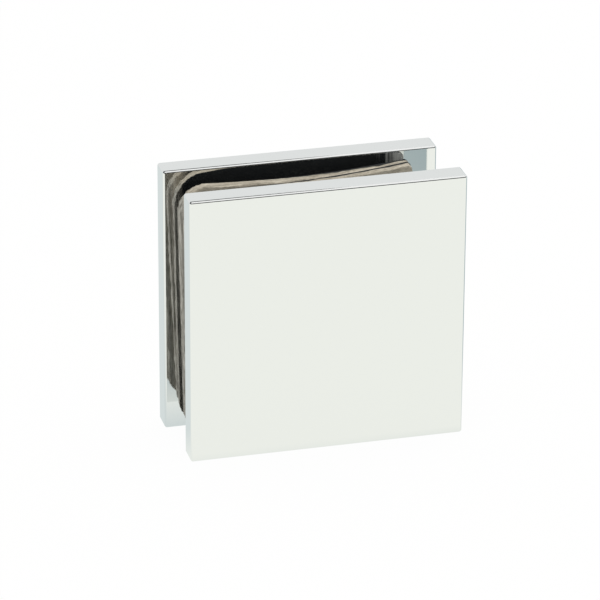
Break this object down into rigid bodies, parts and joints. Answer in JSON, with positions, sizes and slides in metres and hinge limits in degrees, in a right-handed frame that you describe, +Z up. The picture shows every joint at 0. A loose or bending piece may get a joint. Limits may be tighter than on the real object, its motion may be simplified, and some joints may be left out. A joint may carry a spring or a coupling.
{
  "type": "glass clamp",
  "caption": "Glass clamp of square chromed plates that grip sheet glass between loose fibre gaskets, drawn together by countersunk screws from behind.",
  "frame": {"origin": "under the middle of the clamp, on the surface that both plates stand on", "axes": "+Z up, +X along the width of the plates to the right as seen from the front, +Y from the front plate to the rear plate"},
  "size_m": [0.0514, 0.019, 0.05],
  "materials": {
    "chrome_plating": "mirror-polished chrome plating on solid brass",
    "gasket_fibre": "matt pressed fibre with frayed edges and a black back",
    "post_brass": "plain turned brass",
    "sleeve_nylon": "natural extruded nylon",
    "screw_steel": "plain stainless steel"
  },
  "bodies": {
    "rear_jaw": {"rear_plate": "chrome_plating", "rear_gasket": "gasket_fibre", "front_gasket": "gasket_fibre"},
    "front_jaw": {"front_plate": "chrome_plating", "upper_post": "post_brass", "lower_post": "post_brass", "upper_sleeve": "sleeve_nylon", "lower_sleeve": "sleeve_nylon"},
    "upper_clamp_screw": {"upper_screw": "screw_steel"},
    "lower_clamp_screw": {"lower_screw": "screw_steel"}
  },
  "joints": [
    {"name": "front_jaw_slide", "type": "slide", "parent": "rear_jaw", "child": "front_jaw", "axis": [0, -1, 0], "range_m": [0, 0.004]},
    {"name": "upper_screw_turn", "type": "hinge", "parent": "rear_jaw", "child": "upper_clamp_screw", "pos_m": [0, 0.0092, 0.037], "axis": [0, 1, 0], "range_deg": [0, 1440]},
    {"name": "lower_screw_turn", "type": "hinge", "parent": "rear_jaw", "child": "lower_clamp_screw", "pos_m": [0, 0.0092, 0.013], "axis": [0, 1, 0], "range_deg": [0, 1440]}
  ],
  "couplings": [
    {"joint": "upper_screw_turn", "follows": "front_jaw_slide", "rad_per_m": 6283.2},
    {"joint": "lower_screw_turn", "follows": "front_jaw_slide", "rad_per_m": 6283.2}
  ]
}
